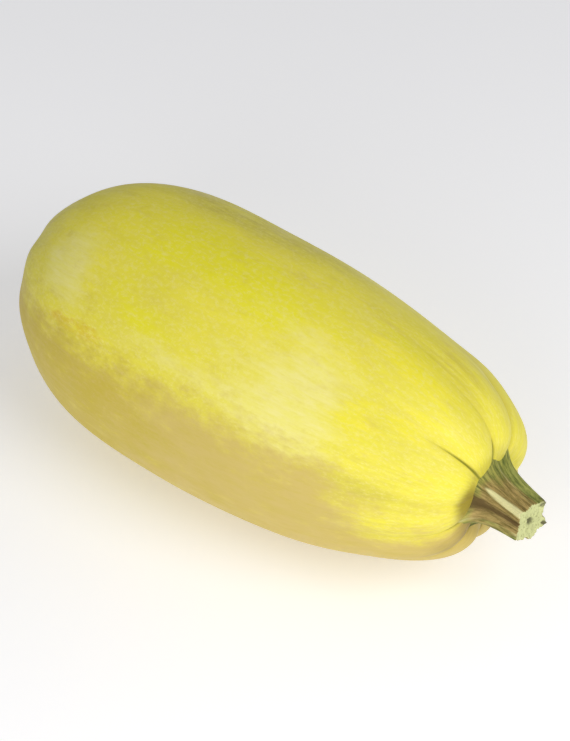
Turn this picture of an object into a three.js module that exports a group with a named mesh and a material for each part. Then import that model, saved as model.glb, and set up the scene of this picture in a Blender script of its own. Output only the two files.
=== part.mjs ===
// Spaghetti squash: an oblong winter squash lying on its side, with the cut end of its stem.
//
// Frame: +X runs along the fruit from the blossom end to the stem end, +Z is up.
// The origin is at the middle of the footprint, on the surface that the squash lies on.
// All sizes are in millimetres and all angles in degrees. An angle "around" the fruit is
// counted from its top (+Z) towards -Y.

import * as THREE from 'three';

// ---- Driving dimensions ----------------------------------------------------------------

// Fruit: two rounded halves that meet at the widest section.
const FRUIT_RADIUS = 59.8;
const BLOSSOM_HALF = 115; // widest section to the blossom end
const STEM_HALF = 141.5; // widest section to the stem end, before the end is flattened
const BLOSSOM_ROUNDING = { along: 3.5, across: 1.33 }; // powers of the outline's curve
const STEM_ROUNDING = { along: 1.95, across: 2.75 };
const BLOSSOM_TIP = 12; // radius of the blunt tip
const SEAT_RADIUS = 19; // flat that the stem stands on
const SHOULDER_SINK = { depth: 10.8, radius: 25.5 }; // the stem end is pressed in around the seat
const BOW = { sag: 3, middle: 30, reach: 120 }; // the long axis bends sideways a little

// Ten grooves part the lobes. They are deep at the stem end and almost gone at mid-length.
const GROOVES = [-48, -8, 30, 71, 101, 138, 174, 211, 248, 283];
const GROOVE_DEPTH = { stem: 3.6, middle: 0.3, blossom: 1.2 };
const LOBE_SHARPNESS = 0.7; // under 1 gives narrow grooves between round lobes
const FACET = { swell: 0.5, corner: -2, count: 5 }; // the section is very slightly five-sided
const GROUND_SPOT = 1.6; // how much the belly is flattened where it lay on the ground

// Stem: a ribbed stub with a flared foot and an angular cut end.
const STEM_LENGTH = 22;
const STEM_NECK_RADIUS = 8.6;
const STEM_FLARE = { radius: 6.5, height: 3.6 }; // the foot is wider by radius, over height
const STEM_LEAN = { y: -3.2, z: 0.5 }; // sideways shift of the cut end
const STEM_CUT_TILT = 14; // the cut faces -Y and up by this much
const STEM_CUT_AROUND = 41.5;
const STEM_GAP = 0.3;
const RIBS = [
  { around: -60, rise: 2.6, width: 17 },
  { around: -15, rise: 1.2, width: 14 },
  { around: 34, rise: 1.6, width: 15 },
  { around: 115, rise: 3.0, width: 26 },
  { around: 176, rise: 1.8, width: 18 },
  { around: 236, rise: 3.2, width: 16 },
];

// Mesh steps
const STEPS_PER_LOBE = 6;
const FRUIT_STEPS_ALONG = 48;
const STEM_STEPS_AROUND = 72;
const STEM_STEPS_ALONG = 20;

// ---- Helpers ---------------------------------------------------------------------------

const { degToRad, lerp, smoothstep, euclideanModulo } = THREE.MathUtils;

// Unit direction across the fruit at an angle around it
function across(around) {
  return new THREE.Vector3(0, -Math.sin(degToRad(around)), Math.cos(degToRad(around)));
}

// A sphere's grid, moved point by point: pointAt(turn, rise) takes the grid's two shares,
// turn once around +X and rise from the -X pole (0) to the +X pole (1).
function wrappedSphere(stepsAround, stepsAlong, pointAt) {
  const geometry = new THREE.SphereGeometry(1, stepsAround, stepsAlong);
  const position = geometry.getAttribute('position');
  const uv = geometry.getAttribute('uv');
  for (let i = 0; i < position.count; i++) {
    const point = pointAt(uv.getX(i), uv.getY(i));
    position.setXYZ(i, point.x, point.y, point.z);
  }
  geometry.computeVertexNormals();
  return geometry;
}

// ---- Fruit -----------------------------------------------------------------------------

// Outline of the fruit: x along the axis, y out from it. The share runs from the blossom
// end (0) over the widest section (1/2) to the stem end (1).
class FruitOutline extends THREE.Curve {
  constructor() {
    super();
    this.arcLengthDivisions = 4000;
  }

  getPoint(share, target = new THREE.Vector2()) {
    if (share < 0.5) {
      return this.blossomHalf(Math.sin(share * Math.PI), target);
    }
    const radius = FRUIT_RADIUS * Math.sin(share * Math.PI);
    return target.set(this.stemHalf(Math.max(radius, SEAT_RADIUS)), Math.max(radius, 0));
  }

  // The curve starts at the blunt tip's radius, which is then drawn in to the axis.
  blossomHalf(share, target) {
    const { along, across: power } = BLOSSOM_ROUNDING;
    const radius = lerp(BLOSSOM_TIP, FRUIT_RADIUS, share);
    const rest = Math.max(1 - (radius / FRUIT_RADIUS) ** power, 0);
    const drawnIn = (radius ** 2 - BLOSSOM_TIP ** 2) / (FRUIT_RADIUS ** 2 - BLOSSOM_TIP ** 2);
    return target.set(-BLOSSOM_HALF * rest ** (1 / along), FRUIT_RADIUS * Math.sqrt(Math.max(drawnIn, 0)));
  }

  stemHalf(radius) {
    const { along, across: power } = STEM_ROUNDING;
    const share = Math.min(radius / FRUIT_RADIUS, 1);
    const sink = SHOULDER_SINK.depth * Math.exp(-((radius / SHOULDER_SINK.radius) ** 2));
    return STEM_HALF * (1 - share ** power) ** (1 / along) - sink * (1 - share ** 2);
  }
}

const outline = new FruitOutline();
const seatX = outline.stemHalf(SEAT_RADIUS);

// Each lobe takes an equal number of mesh steps: the angle around the fruit at a share of
// them, and the lobe's height there, 0 in a groove and 1 between two grooves.
function lobeAt(turn) {
  const step = euclideanModulo(turn, 1) * GROOVES.length;
  const lobe = Math.floor(step);
  const share = step - lobe;
  const next = lobe + 1 < GROOVES.length ? GROOVES[lobe + 1] : GROOVES[0] + 360;
  const height = Math.abs(Math.sin(Math.PI * share)) ** LOBE_SHARPNESS;
  return { around: lerp(GROOVES[lobe], next, share), height };
}

function grooveDepth(x) {
  const stemward = smoothstep(x, 0.3 * STEM_HALF, 0.93 * STEM_HALF);
  const blossomward = smoothstep(-x, 0.55 * BLOSSOM_HALF, 0.95 * BLOSSOM_HALF);
  const { stem, middle, blossom } = GROOVE_DEPTH;
  return middle + (stem - middle) * stemward + (blossom - middle) * blossomward;
}

function fruitPoint(turn, rise) {
  const { around, height } = lobeAt(turn);
  const { x, y: radius } = outline.getPointAt(rise);
  const tangent = outline.getTangentAt(rise);
  const fade = x > 0
    ? smoothstep(radius, SEAT_RADIUS - 1, SEAT_RADIUS + 9)
    : smoothstep(radius, 0, 20);
  const facet = FACET.swell * Math.cos(FACET.count * degToRad(around - FACET.corner));
  const lobe = grooveDepth(x) * fade * (height - 0.6);
  const out = lobe + facet * smoothstep(radius, 20, 50);

  const point = across(around).multiplyScalar(radius + out * tangent.x);
  point.x = x - out * tangent.y;
  point.y -= BOW.sag * (1 - ((point.x - BOW.middle) / BOW.reach) ** 2);
  point.z = Math.max(point.z, GROUND_SPOT - FRUIT_RADIUS);
  return point;
}

function makeFruit() {
  const stepsAround = GROOVES.length * STEPS_PER_LOBE;
  const geometry = wrappedSphere(stepsAround, FRUIT_STEPS_ALONG, fruitPoint);
  const material = new THREE.MeshStandardMaterial({ color: 0xe6d95a, roughness: 0.5, metalness: 0 });
  return new THREE.Mesh(geometry, material);
}

// ---- Stem ------------------------------------------------------------------------------

function ribRise(around) {
  let rise = 0;
  for (const rib of RIBS) {
    const away = euclideanModulo(around - rib.around + 180, 360) - 180;
    rise += rib.rise * Math.exp(-((away / rib.width) ** 2));
  }
  return rise;
}

// A point of the stem at a height over its foot and a share of its full radius there
function stemPointAt(around, height, share) {
  const up = height / STEM_LENGTH;
  const flare = STEM_FLARE.radius * Math.exp(-height / STEM_FLARE.height);
  const radius = share * (STEM_NECK_RADIUS + flare + ribRise(around));
  const side = across(around).multiplyScalar(radius);
  const cutSlope = Math.tan(degToRad(STEM_CUT_TILT)) * up;
  const towardsCut = side.dot(across(STEM_CUT_AROUND));
  return new THREE.Vector3(
    height - cutSlope * towardsCut,
    side.y + STEM_LEAN.y * up,
    side.z + STEM_LEAN.z * up,
  );
}

// The grid's first part is the foot's underside, its last part the cut end.
function stemPoint(turn, rise) {
  const around = 360 * turn;
  const foot = 0.15;
  const cut = 0.85;
  if (rise < foot) {
    return stemPointAt(around, 0, rise / foot);
  }
  if (rise > cut) {
    return stemPointAt(around, STEM_LENGTH, (1 - rise) / (1 - cut));
  }
  const climb = (rise - foot) / (cut - foot);
  return stemPointAt(around, STEM_LENGTH * climb ** 1.3, 1);
}

function makeStem() {
  const geometry = wrappedSphere(STEM_STEPS_AROUND, STEM_STEPS_ALONG, stemPoint);
  const material = new THREE.MeshStandardMaterial({ color: 0x8f9146, roughness: 0.75, metalness: 0 });
  return new THREE.Mesh(geometry, material);
}

// ---- Assembly --------------------------------------------------------------------------

const fruit = makeFruit();
fruit.name = 'fruit';

const stem = makeStem();
stem.name = 'stem';
stem.position.x = seatX + STEM_GAP;
stem.position.y = -BOW.sag * (1 - ((seatX - BOW.middle) / BOW.reach) ** 2);

const squash = new THREE.Group();
squash.add(fruit, stem);

// Stand the squash on its footprint: the box's middle in X and Y, its bottom in Z.
const box = new THREE.Box3().setFromObject(squash);
squash.position.set(-(box.min.x + box.max.x) / 2, -(box.min.y + box.max.y) / 2, -box.min.z);

export default squash;
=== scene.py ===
"""Spaghetti squash lying on its side: fruit, stem stump, camera and studio light.

Metres throughout. +X runs along the fruit from the blossom end to the stem end, +Z is up. An
angle "around" the fruit, in degrees, counts from its top (+Z) towards -Y.
"""
import math

import bpy
import numpy as np
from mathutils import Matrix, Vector


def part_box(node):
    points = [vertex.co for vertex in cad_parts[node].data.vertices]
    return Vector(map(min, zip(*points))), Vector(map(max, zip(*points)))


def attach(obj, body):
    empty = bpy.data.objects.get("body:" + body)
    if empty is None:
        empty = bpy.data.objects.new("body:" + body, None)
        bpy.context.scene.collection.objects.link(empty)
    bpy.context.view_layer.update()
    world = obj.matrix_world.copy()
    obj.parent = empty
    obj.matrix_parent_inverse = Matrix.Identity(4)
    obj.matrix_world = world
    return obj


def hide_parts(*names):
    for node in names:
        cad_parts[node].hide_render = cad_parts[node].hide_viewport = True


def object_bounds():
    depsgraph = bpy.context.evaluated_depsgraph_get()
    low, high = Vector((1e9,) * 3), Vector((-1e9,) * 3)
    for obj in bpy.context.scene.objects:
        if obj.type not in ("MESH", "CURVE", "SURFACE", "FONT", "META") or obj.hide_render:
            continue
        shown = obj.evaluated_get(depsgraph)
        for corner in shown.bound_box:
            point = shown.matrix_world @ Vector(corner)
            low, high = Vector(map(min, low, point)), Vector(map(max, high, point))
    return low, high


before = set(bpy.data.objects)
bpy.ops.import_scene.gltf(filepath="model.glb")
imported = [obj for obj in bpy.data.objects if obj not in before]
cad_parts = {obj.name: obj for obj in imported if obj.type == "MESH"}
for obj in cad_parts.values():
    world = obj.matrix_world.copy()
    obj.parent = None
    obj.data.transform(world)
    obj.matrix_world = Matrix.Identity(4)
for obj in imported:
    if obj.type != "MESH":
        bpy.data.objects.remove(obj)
cad_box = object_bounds()

# ---- Camera ----------------------------------------------------------------------------
# A long lens about a metre away looks down on the squash from its stem end's side, so the
# stem points to the lower right. It aims a little beside the middle of the box.
MM = 0.001
CAMERA_AZIMUTH = 38.5
CAMERA_ELEVATION = 42
CAMERA_DISTANCE = 1.03
CAMERA_LENS = 116.4
CAMERA_AIM = Vector((-4.5, 12.1, -6.6)) * MM


def towards(azimuth, elevation):
    """Unit vector from the squash to a place seen at an azimuth (0 is -Y, 90 is +X) and elevation."""
    a, e = math.radians(azimuth), math.radians(elevation)
    return Vector((math.sin(a) * math.cos(e), -math.cos(a) * math.cos(e), math.sin(e)))


scene = bpy.context.scene
middle = (cad_box[0] + cad_box[1]) / 2
camera = bpy.data.objects.new("camera", bpy.data.cameras.new("camera"))
camera.data.lens = CAMERA_LENS
camera.data.sensor_width = 36
camera_back = towards(CAMERA_AZIMUTH, CAMERA_ELEVATION)
camera.location = middle + CAMERA_AIM + camera_back * CAMERA_DISTANCE
camera.rotation_euler = (-camera_back).to_track_quat("-Z", "Y").to_euler()
scene.collection.objects.link(camera)
scene.camera = camera

# ---- Fruit -----------------------------------------------------------------------------
# The fruit is one thick rind, pressed flat where it lay on the ground. Ten lobes run to the
# stem end, parted by grooves that are sharp creases at the stem and vanish by mid-length.
FRUIT_RADIUS = 59.8 * MM
BLOSSOM_HALF = 115 * MM
STEM_HALF = 141.5 * MM
BLOSSOM_ALONG, BLOSSOM_ACROSS = 3.5, 1.33
STEM_ALONG, STEM_ACROSS = 1.95, 2.75
BLOSSOM_TIP = 12 * MM
SEAT_RADIUS = 19 * MM
SINK_DEPTH, SINK_RADIUS = 10.8 * MM, 25.5 * MM
BOW_SAG, BOW_MIDDLE, BOW_REACH = 3 * MM, 30 * MM, 120 * MM
GROUND_SPOT = 1.6 * MM
FACET_COUNT, FACET_SWELL, FACET_CORNER = 5, 0.5 * MM, -2

# Around, depth in mm at the stem end, and how many mm a sharp crease runs from the stem, if any
GROOVES = (
    (-48, 3.4, 26),
    (-8, 1.9, 8),
    (30, 1.4, 25),
    (71, 1.3, 0),
    (101, 1.9, 9),
    (138, 3.2, 18),
    (174, 2.4, 12),
    (201, 2.6, 14),
    (226, 2.0, 9),
    (251, 2.2, 9),
)
GROOVE_MIDDLE, GROOVE_BLOSSOM = 0.15 * MM, 0.8 * MM
LOBE_LEVEL = 0.5
CREASE_DEPTH, CREASE_WIDTH = 0.8 * MM, 0.5 * MM

# From where to where, out from the widest section, the grooves deepen and the lobes sharpen
STEM_DEEPENING = 0.4 * STEM_HALF, 0.96 * STEM_HALF
BLOSSOM_DEEPENING = 0.55 * BLOSSOM_HALF, 0.95 * BLOSSOM_HALF
SHARPENING = 84 * MM, 130 * MM

# Button at the blossom end: a raised ring around a hollow
RING_RISE, RING_RADIUS, RING_WIDTH = 0.4 * MM, 5.5 * MM, 1.6 * MM
HOLLOW_DEPTH, HOLLOW_RADIUS = 0.7 * MM, 3.5 * MM

OUTLINE_SAMPLES = 4000
FRUIT_ROWS = 256
COLUMNS_PER_LOBE = 32
COLUMN_CROWDING = 0.11


def ease(low, high, value):
    """0 below low, 1 above high, and a smooth cubic step between them."""
    t = np.clip((value - low) / (high - low), 0, 1)
    return t * t * (3 - 2 * t)


def spot(value, centre, width):
    """Bell curve: 1 at the centre, about a third at the width from it."""
    return np.exp(-(((value - centre) / width) ** 2))


def turned_by(around, other):
    """Signed angle from other to around, in degrees, between -180 and 180."""
    return (around - other + 180) % 360 - 180


def across(around):
    """Unit directions across the fruit: zero along X, -sin along Y and cos along Z."""
    a = np.radians(around)
    return np.stack([0 * a, -np.sin(a), np.cos(a)], -1)


def stem_half_x(radius):
    """Superellipse from the widest section to the stem end, less a bell-shaped sink."""
    share = np.clip(radius / FRUIT_RADIUS, 0, 1)
    sink = SINK_DEPTH * np.exp(-((radius / SINK_RADIUS) ** 2)) * (1 - share**2)
    return STEM_HALF * (1 - share**STEM_ACROSS) ** (1 / STEM_ALONG) - sink


SEAT_X = stem_half_x(SEAT_RADIUS)


def bow(x):
    """Sideways shift of the long axis: a parabola that is greatest at the bow's middle."""
    return -BOW_SAG * (1 - ((x - BOW_MIDDLE) / BOW_REACH) ** 2)


def fruit_outline(count):
    """Evenly spaced points of the outline: x, radius, length so far, and outward x and radius.

    The blossom half is a superellipse that starts at the blunt tip's radius, drawn in to the
    axis. The stem half is stem_half_x, level inside the seat.
    """
    turn = np.sin(np.linspace(0, np.pi / 2, OUTLINE_SAMPLES))
    wide = BLOSSOM_TIP + (FRUIT_RADIUS - BLOSSOM_TIP) * turn
    rest = np.clip(1 - (wide / FRUIT_RADIUS) ** BLOSSOM_ACROSS, 0, 1)
    drawn_in = (wide**2 - BLOSSOM_TIP**2) / (FRUIT_RADIUS**2 - BLOSSOM_TIP**2)
    blossom_x = -BLOSSOM_HALF * rest ** (1 / BLOSSOM_ALONG)
    blossom_radius = FRUIT_RADIUS * np.sqrt(np.clip(drawn_in, 0, 1))
    stem_radius = FRUIT_RADIUS * turn[-2::-1]
    x = np.concatenate([blossom_x, stem_half_x(np.maximum(stem_radius, SEAT_RADIUS))])
    radius = np.concatenate([blossom_radius, stem_radius])
    length = np.concatenate([[0], np.cumsum(np.hypot(np.diff(x), np.diff(radius)))])
    run = np.linspace(0, length[-1], count)
    x, radius = np.interp(run, length, x), np.interp(run, length, radius)
    along_x, along_radius = np.gradient(x), np.gradient(radius)
    step = np.hypot(along_x, along_radius)
    return x, radius, run, -along_radius / step, along_x / step


def groove_angles():
    """Angle of each groove, with the first one again a full turn on."""
    angles = [groove[0] for groove in GROOVES]
    return np.array(angles + [angles[0] + 360.0])


def columns_around():
    """Angles of the columns and their share of the way from groove to groove.

    Each lobe has equal columns, crowded towards its grooves by a sine.
    """
    step = np.arange(COLUMNS_PER_LOBE) / COLUMNS_PER_LOBE
    share = step - COLUMN_CROWDING * np.sin(2 * np.pi * step)
    angles = groove_angles()
    around = angles[:-1, None] + np.diff(angles)[:, None] * share
    return around.ravel(), np.tile(share, len(GROOVES))


def stem_end_depth(around):
    """Depth at the stem end, blended in a straight line from each groove to the next."""
    depths = [groove[1] * MM for groove in GROOVES]
    angles = groove_angles()
    return np.interp((around - angles[0]) % 360 + angles[0], angles, depths + [depths[0]])


def groove_relief(x, radius, around, share):
    """How far the rind stands out: lobes as a power of a sine, less a narrow crease.

    The power is 1 at the stem, where the lobes meet in a sharp line, and 2 further away,
    where the grooves are soft. The depth eases from the stem end's to the middle's to the
    blossom end's, and fades to nothing at both poles.
    """
    depth = GROOVE_MIDDLE + (stem_end_depth(around) - GROOVE_MIDDLE) * ease(*STEM_DEEPENING, x)
    depth = depth + (GROOVE_BLOSSOM - GROOVE_MIDDLE) * ease(*BLOSSOM_DEEPENING, -x)
    fade = np.where(x > 0, ease(9 * MM, 24 * MM, radius), ease(0, 20 * MM, radius))
    wave = np.sin(np.pi * np.clip(share, 0, 1))
    sharp = ease(*SHARPENING, x)
    lobe = sharp * wave + (1 - sharp) * wave**2
    return depth * fade * (lobe - LOBE_LEVEL) - CREASE_DEPTH * crease_mask(x, radius, around) * fade


def crease_mask(x, radius, around):
    """1 on the line of a sharp crease: a bell curve across it, eased off away from the seat."""
    run = np.hypot(SEAT_X - x, np.maximum(radius - SEAT_RADIUS, 0))
    mask = 0
    for angle, _, reach in GROOVES:
        if reach == 0:
            continue
        aside = np.radians(turned_by(around, angle)) * radius
        line = spot(aside, 0, CREASE_WIDTH * (1 + 0.4 * spot(run, 0, 4 * MM)))
        mask = mask + line * (1 - ease(0.3 * reach * MM, 1.25 * reach * MM, run))
    return mask


# Long waves of the rind: mm to a radian along it, waves around it, height in mm and phase
RIND_WAVES = (
    (17, 2, 0.14, 0.4),
    (11, -3, 0.12, 1.9),
    (23, 5, 0.09, 4.2708),
)
# Flattened places: mm from the widest section, around, depth, and half size in mm and degrees.
# A depth below zero stands out: the lobe beyond the stem is a full one.
FLATS = (
    (-98, -42, 1.7, 22, 34),
    (52, -52, 0.9, 48, 26),
    (20, 34, 0.5, 60, 18),
    (104, -60, -1.2, 14, 20),
    (129, -96, -2.6, 12, 22),
)


def dents(x, around):
    """Shallow unevenness of the grown rind: a sum of sine waves, less bell-shaped flats."""
    rise = 0
    for length, turns, height, phase in RIND_WAVES:
        rise = rise + height * np.sin(x / (length * MM) + turns * np.radians(around) + phase)
    for flat_x, angle, depth, length, width in FLATS:
        flat = spot(x, flat_x * MM, length * MM) * spot(turned_by(around, angle), 0, width)
        rise = rise - depth * flat
    return rise * MM


def fruit_points():
    """The rind's grid, rows along the outline and columns around it, and each point's place.

    Each outline point is carried around the axis, moved out along the outline's normal by
    the lobes, facets and dents, then bowed sideways and pressed flat at the ground spot. The
    button at the blossom end is a bell-shaped ring and hollow.
    """
    around, share = columns_around()
    x, radius, run, out_x, out_radius = (row[:, None] for row in fruit_outline(FRUIT_ROWS))
    facet = FACET_SWELL * np.cos(FACET_COUNT * np.radians(around - FACET_CORNER))
    ring = RING_RISE * spot(radius, RING_RADIUS, RING_WIDTH)
    hollow = HOLLOW_DEPTH * spot(radius, 0, HOLLOW_RADIUS)
    out = groove_relief(x, radius, around, share)
    out = out + facet * ease(20 * MM, 50 * MM, radius)
    out = out + dents(x, around) * ease(14 * MM, 36 * MM, radius)
    out = out + (ring - hollow) * (x < 0)
    points = across(around) * (radius + out * out_radius)[..., None]
    points[..., 0] = x + out * out_x
    points[..., 1] += bow(points[..., 0])
    points[..., 2] = np.maximum(points[..., 2], GROUND_SPOT - FRUIT_RADIUS)
    return points, x, radius, run, around, share


def closed_mesh(name, points, masks):
    """A closed mesh from a grid whose first and last rows are single points on the axis.

    Quads join neighbouring rows and columns, and triangles join the poles. Each mask is a
    grid of numbers that becomes a float attribute of the same name.
    """
    rows, columns = points.shape[:2]
    ring = np.arange(columns)
    index = 1 + np.arange((rows - 2) * columns).reshape(rows - 2, columns)
    here, there = index[:-1], index[1:]
    quads = np.stack([here, np.roll(here, -1, 1), np.roll(there, -1, 1), there], -1).reshape(-1, 4)
    last = 1 + (rows - 2) * columns
    first_fan = np.stack([np.zeros_like(ring), np.roll(index[0], -1), index[0]], -1)
    last_fan = np.stack([np.full_like(ring, last), index[-1], np.roll(index[-1], -1)], -1)
    faces = quads.tolist() + first_fan.tolist() + last_fan.tolist()

    def to_vertices(grid):
        body = grid[1:-1].reshape(-1, *grid.shape[2:])
        return np.concatenate([grid[:1].mean(1), body, grid[-1:].mean(1)])

    mesh = bpy.data.meshes.new(name)
    mesh.from_pydata(to_vertices(points).tolist(), [], faces)
    mesh.polygons.foreach_set("use_smooth", np.ones(len(mesh.polygons), bool))
    for mask_name, mask in masks.items():
        values = to_vertices(np.broadcast_to(mask, (rows, columns))).astype(np.float32)
        mesh.attributes.new(mask_name, "FLOAT", "POINT").data.foreach_set("value", values)
    mesh.update()
    piece = bpy.data.objects.new(name, mesh)
    scene.collection.objects.link(piece)
    return piece


rind_points, rind_x, rind_radius, rind_run, rind_around, rind_share = fruit_points()
fruit_low, fruit_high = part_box("fruit")
own_low, own_high = rind_points.min((0, 1)), rind_points.max((0, 1))
FRUIT_ORIGIN = (np.array(fruit_low) + np.array(fruit_high) - own_low - own_high) / 2
FRUIT_ORIGIN[2] = fruit_low.z - own_low[2]

# The ground side, in degrees around, stays pale under the fruit: its tan is a ground spot, and partly
# painted shade and painted warm bounce light. Yellow comes back over its upper edge at the stem end.
GROUND_SIDE_START, GROUND_SIDE_END = (50, 82), (228, 272)
YELLOW_END, YELLOW_END_EDGE = (76 * MM, 116 * MM), (98, 114)
ground_spot_and_painted_shade = ease(*GROUND_SIDE_START, rind_around) * (1 - ease(*GROUND_SIDE_END, rind_around))
yellow_end = ease(*YELLOW_END, rind_x) * (1 - ease(*YELLOW_END_EDGE, rind_around))
ground_spot_and_painted_shade = ground_spot_and_painted_shade * (1 - 0.8 * yellow_end)
relief = groove_relief(rind_x, rind_radius, rind_around, rind_share)
# Ring around the stem where the stem's root casts a painted shadow on the rind
root_shadow_ring = ease(27 * MM, 17 * MM, rind_radius) * ease(90 * MM, 118 * MM, rind_x)


def patches(*ovals):
    """Sum of soft ovals on the rind: (mm from the widest section, around, half sizes, strength)."""
    total = 0
    for at_x, angle, length, width, strength in ovals:
        oval = spot(rind_x, at_x * MM, length * MM) * spot(turned_by(rind_around, angle), 0, width)
        total = total + strength * oval
    return total


def skin(run, around, radius):
    """Masks that place a point on a grown skin: the length along it, and the way around it."""
    way = across(around) * radius
    return {"run": run, "way_y": way[..., 1], "way_z": way[..., 2]}


fruit = closed_mesh("squash_fruit", rind_points + FRUIT_ORIGIN, {
    **skin(rind_run, rind_around, FRUIT_RADIUS),
    "ground_spot_and_painted_shade": ground_spot_and_painted_shade,
    "lemon": patches(
        (-8, 6, 40, 15, 1.0), (36, 14, 26, 10, 0.6), (76, -9, 26, 6, 0.4), (-30, 30, 16, 12, 0.5),
        (0, 46, 34, 8, 0.4), (-40, 300, 50, 30, 0.5),
    ),
    "cream": patches(
        (62, 32, 28, 26, 1.0), (62, 58, 28, 11, 0.9), (-57, 44, 16, 18, 1.0), (-68, 26, 14, 14, 0.5),
        (12, 54, 34, 8, 0.5), (30, 200, 60, 40, 0.7),
    ),
    "gold": patches(
        (110, 28, 12, 13, 0.9), (88, 37, 10, 8, 1.0), (116, 92, 16, 8, 0.6), (98, 2, 26, 9, 1.0),
        (108, 60, 16, 10, 0.3),
    ),
    "amber": patches((-36, 60, 9, 4, 0.9), (-52, 62, 8, 4, 1.0), (14, 66, 14, 4, 0.3)),
    # Mustard, painted shade: on the upper flank and by the stem, and partly towards the blossom end
    "dimming_and_painted_shade": ease(66 * MM, 108 * MM, -rind_x) + patches((-10, -34, 60, 20, 1.3), (98, 72, 28, 9, 1.0)),
    "freckle": patches((24, 14, 34, 14, 0.7), (96, 34, 16, 10, 0.7), (100, 0, 20, 14, 0.6)),
    "husk": patches((108, -24, 22, 22, 0.7), (112, 62, 20, 10, 0.5)),
    # Painted shadow of the stem's root on the rind, strongest towards the ground, and painted shade on the
    # lobe below the stem
    "root": root_shadow_ring * (0.3 + spot(turned_by(rind_around, 74), 0, 28)) + patches((134, 124, 12, 18, 0.7)),
    "beige": ease(-70 * MM, 90 * MM, rind_x),
    "crease": crease_mask(rind_x, rind_radius, rind_around),
    "relief": relief / MM,
    "scar": ease(6.5 * MM, 3.5 * MM, rind_radius) * (rind_x < 0),
})
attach(fruit, "root")
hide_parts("fruit")


class Nodes:
    """A node tree, written as calls: each adds one node and returns its output."""

    def __init__(self, tree):
        self.tree = tree

    def add(self, kind, inputs, output=0, **settings):
        node = self.tree.nodes.new(kind)
        for setting, value in settings.items():
            setattr(node, setting, value)
        for socket, value in inputs.items():
            if isinstance(value, bpy.types.NodeSocket):
                self.tree.links.new(value, node.inputs[socket])
            else:
                node.inputs[socket].default_value = value
        return node.outputs[output]

    def clouds(self, place, size, detail=3, rough=0.5):
        """Cloudy values around 0.5, whose blotches are about size metres across."""
        scale = self.math("DIVIDE", 1, size)
        inputs = {"Vector": place, "Scale": scale, "Detail": detail, "Roughness": rough}
        return self.add("ShaderNodeTexNoise", inputs)

    def span(self, value, low, high, start=0.0, end=1.0):
        """Value eased from start, where it is low, to end, where it is high."""
        inputs = {"Value": value, "From Min": low, "From Max": high, "To Min": start, "To Max": end}
        return self.add("ShaderNodeMapRange", inputs, interpolation_type="SMOOTHSTEP")

    def math(self, operation, a, b):
        return self.add("ShaderNodeMath", {0: a, 1: b}, operation=operation)

    def bump(self, height, distance, strength, normal=None):
        inputs = {"Height": height, "Distance": distance, "Strength": strength}
        if normal is not None:
            inputs["Normal"] = normal
        return self.add("ShaderNodeBump", inputs)


class Effect(Nodes):
    """A node group that several finishes share: named inputs, of the given kinds, and an output."""

    def __init__(self, name, **kinds):
        super().__init__(bpy.data.node_groups.new(name, "ShaderNodeTree"))
        for socket, kind in kinds.items():
            self.tree.interface.new_socket(socket, in_out="INPUT", socket_type="NodeSocket" + kind)
        self.given = self.tree.nodes.new("NodeGroupInput").outputs

    def give(self, socket, kind, value):
        self.tree.interface.new_socket(socket, in_out="OUTPUT", socket_type="NodeSocket" + kind)
        self.tree.links.new(value, self.tree.nodes.new("NodeGroupOutput").inputs[socket])


def ragged_patch():
    """Share of a tint: a mask, plus or minus cloudy noise, eased from low to high."""
    patch = Effect("ragged_patch", Mask="Float", Place="Vector", Size="Float", Raggedness="Float",
                   Low="Float", High="Float", Most="Float")
    cloud = patch.clouds(patch.given["Place"], patch.given["Size"], 6, 0.68)
    swing = patch.math("MULTIPLY", patch.math("SUBTRACT", cloud, 0.5), patch.given["Raggedness"])
    mask = patch.math("ADD", patch.given["Mask"], swing)
    low, high, most = (patch.given[name] for name in ("Low", "High", "Most"))
    patch.give("Share", "Float", patch.span(mask, low, high, 0, most))
    return patch.tree


def fine_grain():
    """Normal of a surface roughened by small, shallow, cloudy bumps."""
    grain = Effect("fine_grain", Place="Vector", Size="Float", Depth="Float", Normal="Vector")
    cloud = grain.clouds(grain.given["Place"], grain.given["Size"], 3, 0.6)
    grain.give("Normal", "Vector", grain.bump(cloud, grain.given["Depth"], 0.6, grain.given["Normal"]))
    return grain.tree


RAGGED_PATCH = ragged_patch()
FINE_GRAIN = fine_grain()


class Finish(Nodes):
    """A material with one Principled shader, whose plain values are given by name."""

    def __init__(self, name, **shader):
        self.material = bpy.data.materials.new(name)
        self.material.use_nodes = True
        super().__init__(self.material.node_tree)
        self.shader = self.tree.nodes["Principled BSDF"]
        for socket, value in shader.items():
            self.shader.inputs[socket.replace("_", " ")].default_value = value

    def feed(self, socket, value):
        self.tree.links.new(value, self.shader.inputs[socket])

    def mask(self, name):
        return self.add("ShaderNodeAttribute", {}, "Fac", attribute_name=name)

    def solid(self):
        """Place in the object, for a pattern that has no direction."""
        return self.add("ShaderNodeTexCoord", {}, "Object")

    def skin(self, stretch):
        """Place on the skin: the length along it, divided by stretch, and the way around it."""
        run = self.math("DIVIDE", self.mask("run"), stretch)
        way = {"X": run, "Y": self.mask("way_y"), "Z": self.mask("way_z")}
        return self.add("ShaderNodeCombineXYZ", way)

    def patch(self, name, raggedness, size, low, high, most=1.0, stretch=2.2):
        """How far a tint covers each place, from 0 to most, where its mask rises from low to high."""
        inputs = {"Mask": self.mask(name), "Place": self.skin(stretch), "Size": size,
                  "Raggedness": raggedness, "Low": low, "High": high, "Most": most}
        return self.add("ShaderNodeGroup", inputs, "Share", node_tree=RAGGED_PATCH)

    def grain(self, size, depth, normal):
        inputs = {"Place": self.solid(), "Size": size, "Depth": depth, "Normal": normal}
        return self.add("ShaderNodeGroup", inputs, "Normal", node_tree=FINE_GRAIN)

    def mix(self, share, a, b):
        """Colour a turned to colour b by share."""
        return self.add("ShaderNodeMix", {0: share, 6: a, 7: b}, 2, data_type="RGBA")


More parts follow.
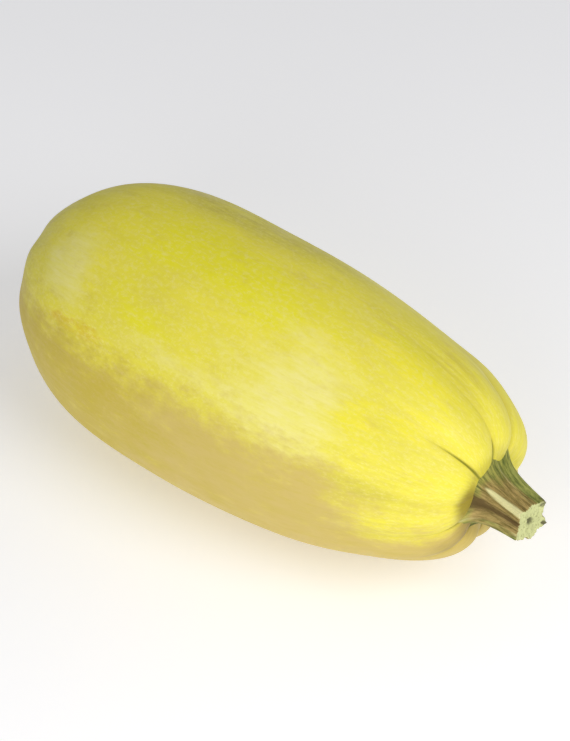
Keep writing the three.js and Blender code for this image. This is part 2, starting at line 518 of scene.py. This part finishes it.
def paint(red, green, blue):
    """Linear colour from the 0 to 255 values that a screen shows."""
    share = np.array([red, green, blue]) / 255
    linear = np.where(share > 0.04045, ((share + 0.055) / 1.055) ** 2.4, share / 12.92)
    return (*linear.tolist(), 1.0)


def rind_finish():
    """Waxy yellow rind: darker towards the blossom end, partly as painted shade, paler in patches, beige
    towards the ground. Painted shade also falls on the upper flank, in the grooves and creases and around
    the stem's root, and the ground side is partly painted shade and warm bounce light.
    """
    rind = Finish("rind", Roughness=0.5, Specular_IOR_Level=0.28)
    yellow, straw, mustard = paint(245, 232, 80), paint(234, 221, 84), paint(202, 188, 76)
    lemon, cream, gold = paint(240, 232, 40), paint(248, 238, 150), paint(250, 236, 60)
    beige, tan, amber = paint(214, 190, 108), paint(205, 184, 66), paint(226, 188, 44)
    olive, green, shade_and_streak_brown = paint(196, 178, 60), paint(118, 122, 36), paint(112, 84, 42)
    cork, lime = paint(158, 128, 74), paint(214, 206, 30)

    broad = rind.clouds(rind.skin(2.2), 0.03, 6, 0.62)
    colour = rind.mix(rind.span(broad, 0.36, 0.62), yellow, straw)
    # Mask, colour, and the patch's raggedness, size, low, high, most and stretch
    tints = (
        # The first tint, mustard, is painted shade on the upper flank and by the stem, and darkens the
        # blossom end partly as painted shade
        ("dimming_and_painted_shade", mustard, 1.6, 0.030, 0.0, 1.0, 0.80, 2.2),
        ("lemon", lemon, 2.4, 0.016, 0.2, 1.0, 0.95, 2.2),
        ("cream", cream, 2.4, 0.020, 0.2, 1.05, 0.92, 2.2),
        ("gold", gold, 2.6, 0.008, 0.3, 1.0, 0.90, 4.0),
        ("amber", amber, 2.6, 0.005, 0.3, 1.0, 0.80, 2.2),
        ("freckle", lime, 3.4, 0.0035, 0.6, 1.6, 0.50, 2.5),
    )
    for mask, tint, *spread in tints:
        colour = rind.mix(rind.patch(mask, *spread), colour, tint)
    # Ground side: a ground spot, partly painted shade and painted warm bounce light of the lower flank,
    # tan turning beige towards the stem
    ground = rind.patch("ground_spot_and_painted_shade", 1.7, 0.008, 0.0, 1.0, 1.0, 1.7)
    dry = rind.patch("beige", 2.8, 0.03, 0.1, 0.9)
    colour = rind.mix(ground, colour, rind.mix(dry, tan, beige))

    streaks = rind.span(rind.clouds(rind.skin(4), 0.0032, 6, 0.75), 0.34, 0.66, 0, 0.45)
    colour = rind.mix(streaks, colour, rind.mix(ground, lemon, tan))
    smears = rind.span(rind.clouds(rind.skin(9), 0.0022, 5, 0.7), 0.42, 0.70, 0, 0.4)
    colour = rind.mix(smears, colour, rind.mix(ground, straw, beige))
    mottle = rind.span(rind.clouds(rind.skin(1.5), 0.0016, 4, 0.75), 0.44, 0.74, 0, 0.5)
    colour = rind.mix(mottle, colour, rind.mix(ground, cream, beige))
    # Painted shade in the grooves: olive, more where the groove is deeper
    colour = rind.mix(rind.span(rind.mask("relief"), -1.8, 0.0, 0.5, 0), colour, olive)
    colour = rind.mix(rind.patch("husk", 3.0, 0.005, 0.3, 1.3, 0.45, 12), colour, olive)
    # Painted shadow of the stem's root, in brown
    colour = rind.mix(rind.patch("root", 0.8, 0.004, 0.0, 1.2, 0.65), colour, shade_and_streak_brown)
    # Green crease lines: partly the crease's own colour, partly painted shade in the crease
    colour = rind.mix(rind.span(rind.mask("crease"), 0.1, 1.0, 0, 0.75), colour, green)
    colour = rind.mix(rind.patch("scar", 0.8, 0.003, 0.2, 0.9, 0.95, 1), colour, cork)
    rind.feed("Base Color", colour)

    rind.feed("Roughness", rind.span(rind.clouds(rind.solid(), 0.012), 0.3, 0.7, 0.44, 0.58))
    waves = rind.bump(rind.clouds(rind.skin(2.5), 0.010), 0.0005, 0.5)
    rind.feed("Normal", rind.grain(0.0009, 0.00006, waves))
    return rind.material


fruit.data.materials.append(rind_finish())

# ---- Stem ------------------------------------------------------------------------------
# The dry, corky stump of stem that the fruit was cut from. Its ribs spread into a foot, whose
# toes run out into the fruit's grooves, and the knife left an angular, slightly hollow end.
STEM_LENGTH = 22.8 * MM
STEM_NECK = 8.6 * MM
STEM_TAPER = 0.2
STEM_FOOT = 16.8 * MM
FOOT_FALL = 4.6 * MM  # height over which the foot's flare falls to a third
FOOT_DEPTH = 2.6 * MM  # how far the foot goes on under the seat
STEM_LEAN_Y, STEM_LEAN_Z = -3.2 * MM, -0.8 * MM
CUT_SLOPE = math.tan(math.radians(14))
CUT_AROUND = 41.5
CUT_LIP, CUT_HOLLOW = 0.35 * MM, 0.5 * MM
PIT_DEPTH, PIT_RADIUS = 1.4 * MM, 1.3 * MM

# Around, rise in mm and half width in degrees
STEM_RIBS = (
    (-56, 4.0, 17),
    (-16, 1.4, 9),
    (37, 2.2, 9),
    (116, 3.4, 19),
    (176, 1.8, 16),
    (236, 3.4, 14),
)
# Around, how far the toe reaches past the foot in mm, half width in degrees
STEM_TOES = (
    (-48, 4.4, 13),
    (-8, 2.6, 11),
    (30, -1.0, 10),
    (70, -2.6, 16),
    (104, 6.5, 13),
    (138, 4.0, 11),
    (174, 3.5, 11),
    (201, 4.0, 12),
    (226, 3.0, 10),
    (251, 3.5, 11),
)
# Around, how far a dried corner of the cut end curls up in mm, half width in degrees
CUT_CORNERS = (
    (-56, 1.3, 11),
    (236, 0.7, 10),
)
# Fine fibres: waves around, height in mm, phase, and twist towards the cut end
STEM_FIBRES = (
    (13, 0.26, 1.0, 0.8),
    (29, 0.20, 2.2, -1.0),
    (47, 0.13, 0.5, 2.0),
)
STEM_COLUMNS = 384
SIDE_ROWS = 90
CUT_ROWS = 34
ROW_CROWDING = 1.4


def bells(around, table):
    """Sum of bell curves around the stem, one for each (angle, rise in mm, half width)."""
    total = 0
    for angle, rise, width in table:
        total = total + rise * MM * spot(turned_by(around, angle), 0, width)
    return total


def stem_radius_at(around, height):
    """Tapering neck and ribs, a foot that falls off exponentially with height, and sine fibres."""
    up = np.clip(height / STEM_LENGTH, 0, 1)
    neck = (STEM_NECK + bells(around, STEM_RIBS)) * (1 - STEM_TAPER * up)
    foot = STEM_FOOT + bells(around, STEM_TOES)
    fibres = 0
    for waves, rise, phase, twist in STEM_FIBRES:
        fibres = fibres + rise * np.sin(waves * np.radians(around) + phase + twist * up)
    flare = (foot - neck) * np.exp(-(height + FOOT_DEPTH) / FOOT_FALL)
    return neck + flare + fibres * MM * (0.4 + 0.6 * up)


def lean(around, height, radius):
    """Points at a height and radius: the axis leans with height and the end is cut aslant."""
    up = np.clip(height / STEM_LENGTH, 0, 1)
    side = across(around) * radius[..., None]
    towards_cut = side @ across(np.array(CUT_AROUND))
    side[..., 0] = height - CUT_SLOPE * up * towards_cut
    side[..., 1] += STEM_LEAN_Y * up
    side[..., 2] += STEM_LEAN_Z * up
    return side


def stem_points():
    """The stem's grid from the hidden underside, up the ribbed side, to the cut end's middle.

    The cut end is hollow by a fourth power inside a low lip, with a bell-shaped pit in its
    middle, a face roughened by two sines, and dried corners that curl up on two ribs.
    """
    around = np.arange(STEM_COLUMNS) * 360 / STEM_COLUMNS
    climb = np.linspace(0, 1, SIDE_ROWS)[:, None] ** ROW_CROWDING
    side_height = -FOOT_DEPTH + (STEM_LENGTH + FOOT_DEPTH) * climb + 0 * around
    side_radius = stem_radius_at(around, side_height)

    share = np.cos(np.linspace(0, np.pi / 2, CUT_ROWS + 1)[1:])[:, None]
    rim = side_radius[-1] * share
    a = np.radians(around)
    rough = 0.16 * np.sin(rim / (0.9 * MM) + 5 * a) + 0.12 * np.sin(rim / (0.5 * MM) - 9 * a + 1)
    rough = rough * MM * ease(0, 0.3, share)
    curl = bells(around, CUT_CORNERS) * ease(0.7, 1.0, share)
    hollow = CUT_HOLLOW * (1 - share**4) + PIT_DEPTH * spot(rim, 0, PIT_RADIUS)
    edge = ease(0, 0.06, 1 - share)
    cut_height = STEM_LENGTH + (CUT_LIP - hollow + curl + rough) * edge

    under_radius = side_radius[:1] * np.array([[0.0], [0.5]])
    height = np.concatenate([side_height[:1] + 0 * under_radius, side_height, cut_height])
    radius = np.concatenate([under_radius, side_radius, rim])
    on_cut = np.concatenate([0 * under_radius, 0 * side_height, edge + 0 * around])
    return lean(around, height, radius), around, height, radius, on_cut


stump, stem_around, stem_height, stem_radius, on_cut = stem_points()
STEM_ORIGIN = FRUIT_ORIGIN + np.array([SEAT_X, bow(SEAT_X), 0])
stem_up = np.clip(stem_height / STEM_LENGTH, 0, 1)
side_only = 1 - on_cut


def streak(angle, width, spread=0.0):
    """Mask along the stem's side around an angle, spreading with height."""
    return spot(turned_by(stem_around, angle), 0, width * (1 + spread * stem_up)) * side_only


stem = closed_mesh("squash_stem", stump + STEM_ORIGIN, {
    **skin(stem_height, stem_around, STEM_NECK),
    "cut": on_cut,
    "toe": ease(5 * MM, 0, stem_height) * side_only + ease(13 * MM, 3 * MM, stem_height) * streak(-14, 38),
    "green": 1.1 * streak(-54, 44, -0.5) + 0.7 * streak(118, 20) + 0.8 * streak(200, 26)
    + 0.6 * streak(262, 16),
    # Pale: cream ribs, and a painted highlight along the rib at -16 degrees
    "pale": 1.1 * streak(38, 4.2, 2.2) * ease(0.0, 0.35, stem_up) + 0.35 * streak(-16, 3.5)
    + 0.45 * streak(103, 4) + 0.6 * ease(0.72, 1.0, stem_up) * streak(128, 26),
    # Dark brown: painted shade at the root on the side towards the ground and in the grooves between ribs,
    # partly brown streaks
    "dark": streak(74, 16, -0.4) * (1 + 0.5 * ease(9 * MM, 1 * MM, stem_height)) + 0.5 * streak(12, 6)
    + 0.5 * streak(-6, 7) + 0.5 * streak(150, 7) + 0.5 * streak(216, 6) + 0.6 * streak(284, 5),
    "corner": (spot(turned_by(stem_around, -56), 0, 11) + spot(turned_by(stem_around, 236), 0, 9))
    * ease(0.86, 0.99, stem_up) * ease(5.5 * MM, 8 * MM, stem_radius),
    # Painted shade in the pit of the cut end
    "pit": spot(stem_radius, 0, 2.1 * MM) * on_cut,
})
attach(stem, "root")
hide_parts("stem")


def stem_finish():
    """Dry stem: tan cork with green ribs, pale streaks with a painted highlight along one rib, dark brown
    streaks that are partly painted shade at the root and in the grooves, and a pale speckled cut with
    painted shade in its pit.
    """
    cork = Finish("stem", Roughness=0.72, Specular_IOR_Level=0.25)
    tan, shade_and_streak_brown, moss = paint(186, 160, 100), paint(96, 76, 42), paint(118, 106, 52)
    green, leaf, fern = paint(168, 172, 92), paint(176, 174, 84), paint(88, 100, 42)
    cream, cut, dark = paint(230, 224, 166), paint(214, 217, 154), paint(74, 68, 46)
    fleck = paint(152, 152, 92)

    fibre = cork.clouds(cork.skin(10), 0.0008, 5, 0.75)
    threads = cork.span(fibre, 0.34, 0.66)
    colour = cork.mix(threads, moss, tan)
    ribs = cork.mix(threads, fern, green)
    colour = cork.mix(cork.patch("green", 2.0, 0.0024, 0.2, 0.8, 0.95, 12), colour, ribs)
    toes = cork.mix(threads, fern, leaf)
    colour = cork.mix(cork.patch("toe", 2.0, 0.003, 0.2, 1.1, 0.85, 6), colour, toes)
    # Painted shade at the root and in the grooves, partly brown streaks
    colour = cork.mix(cork.patch("dark", 2.0, 0.002, 0.2, 1.1, 0.9, 12), colour, shade_and_streak_brown)
    # Pale ribs, with a painted highlight along one of them
    colour = cork.mix(cork.patch("pale", 1.4, 0.0018, 0.3, 0.85, 1.0, 12), colour, cream)
    speckle = cork.span(cork.clouds(cork.solid(), 0.0011, 4, 0.65), 0.54, 0.68, 0, 0.7)
    face = cork.mix(speckle, cut, fleck)
    colour = cork.mix(cork.patch("cut", 1.0, 0.002, 0.3, 0.8), colour, face)
    # Painted shade in the pit of the cut end
    colour = cork.mix(cork.span(cork.mask("pit"), 0.3, 0.9, 0, 0.75), colour, dark)
    colour = cork.mix(cork.patch("corner", 2.0, 0.0016, 0.3, 0.9, 0.85, 2), colour, dark)
    cork.feed("Base Color", colour)

    grooves = cork.bump(fibre, 0.0006, 0.9)
    cork.feed("Normal", cork.grain(0.0007, 0.00012, grooves))
    return cork.material


stem.data.materials.append(stem_finish())

# ---- Floor and light -------------------------------------------------------------------
# A pale, seamless studio floor that glows a little, as a lit table does. A large soft lamp
# stands beyond the stem end, a lower one in front, and white surroundings fill the shade.
FLOOR_HALF = 4.0
FLOOR_PALE = (0.91, 0.91, 0.93, 1)
FLOOR_GLOW = 0.29
SURROUND = 0.36

# Azimuth, elevation, distance from the squash, width across and power in watts
LAMPS = {
    "main_lamp": (80, 42, 0.85, 0.55, 3.2),
    "front_lamp": (20, 22, 0.8, 0.55, 1.7),
}

floor_mesh = bpy.data.meshes.new("floor")
corners = [(-1, -1), (1, -1), (1, 1), (-1, 1)]
floor_mesh.from_pydata([(x * FLOOR_HALF, y * FLOOR_HALF, 0) for x, y in corners], [], [(0, 1, 2, 3)])
floor = bpy.data.objects.new("floor", floor_mesh)
scene.collection.objects.link(floor)
floor_paint = Finish("floor", Base_Color=FLOOR_PALE, Roughness=0.9, Specular_IOR_Level=0.1,
                     Emission_Color=FLOOR_PALE, Emission_Strength=FLOOR_GLOW)
floor_mesh.materials.append(floor_paint.material)

for name, (azimuth, elevation, distance, width, power) in LAMPS.items():
    lamp = bpy.data.objects.new(name, bpy.data.lights.new(name, "AREA"))
    lamp.data.shape = "DISK"
    lamp.data.size = width
    lamp.data.energy = power
    lamp_back = towards(azimuth, elevation)
    lamp.location = middle + lamp_back * distance
    lamp.rotation_euler = (-lamp_back).to_track_quat("-Z", "Y").to_euler()
    scene.collection.objects.link(lamp)

surroundings = bpy.data.worlds.new("surroundings")
scene.world = surroundings
surroundings.use_nodes = True
sky = surroundings.node_tree.nodes["Background"]
sky.inputs["Color"].default_value = (1, 1, 1, 1)
sky.inputs["Strength"].default_value = SURROUND
scene.view_settings.view_transform = "Standard"
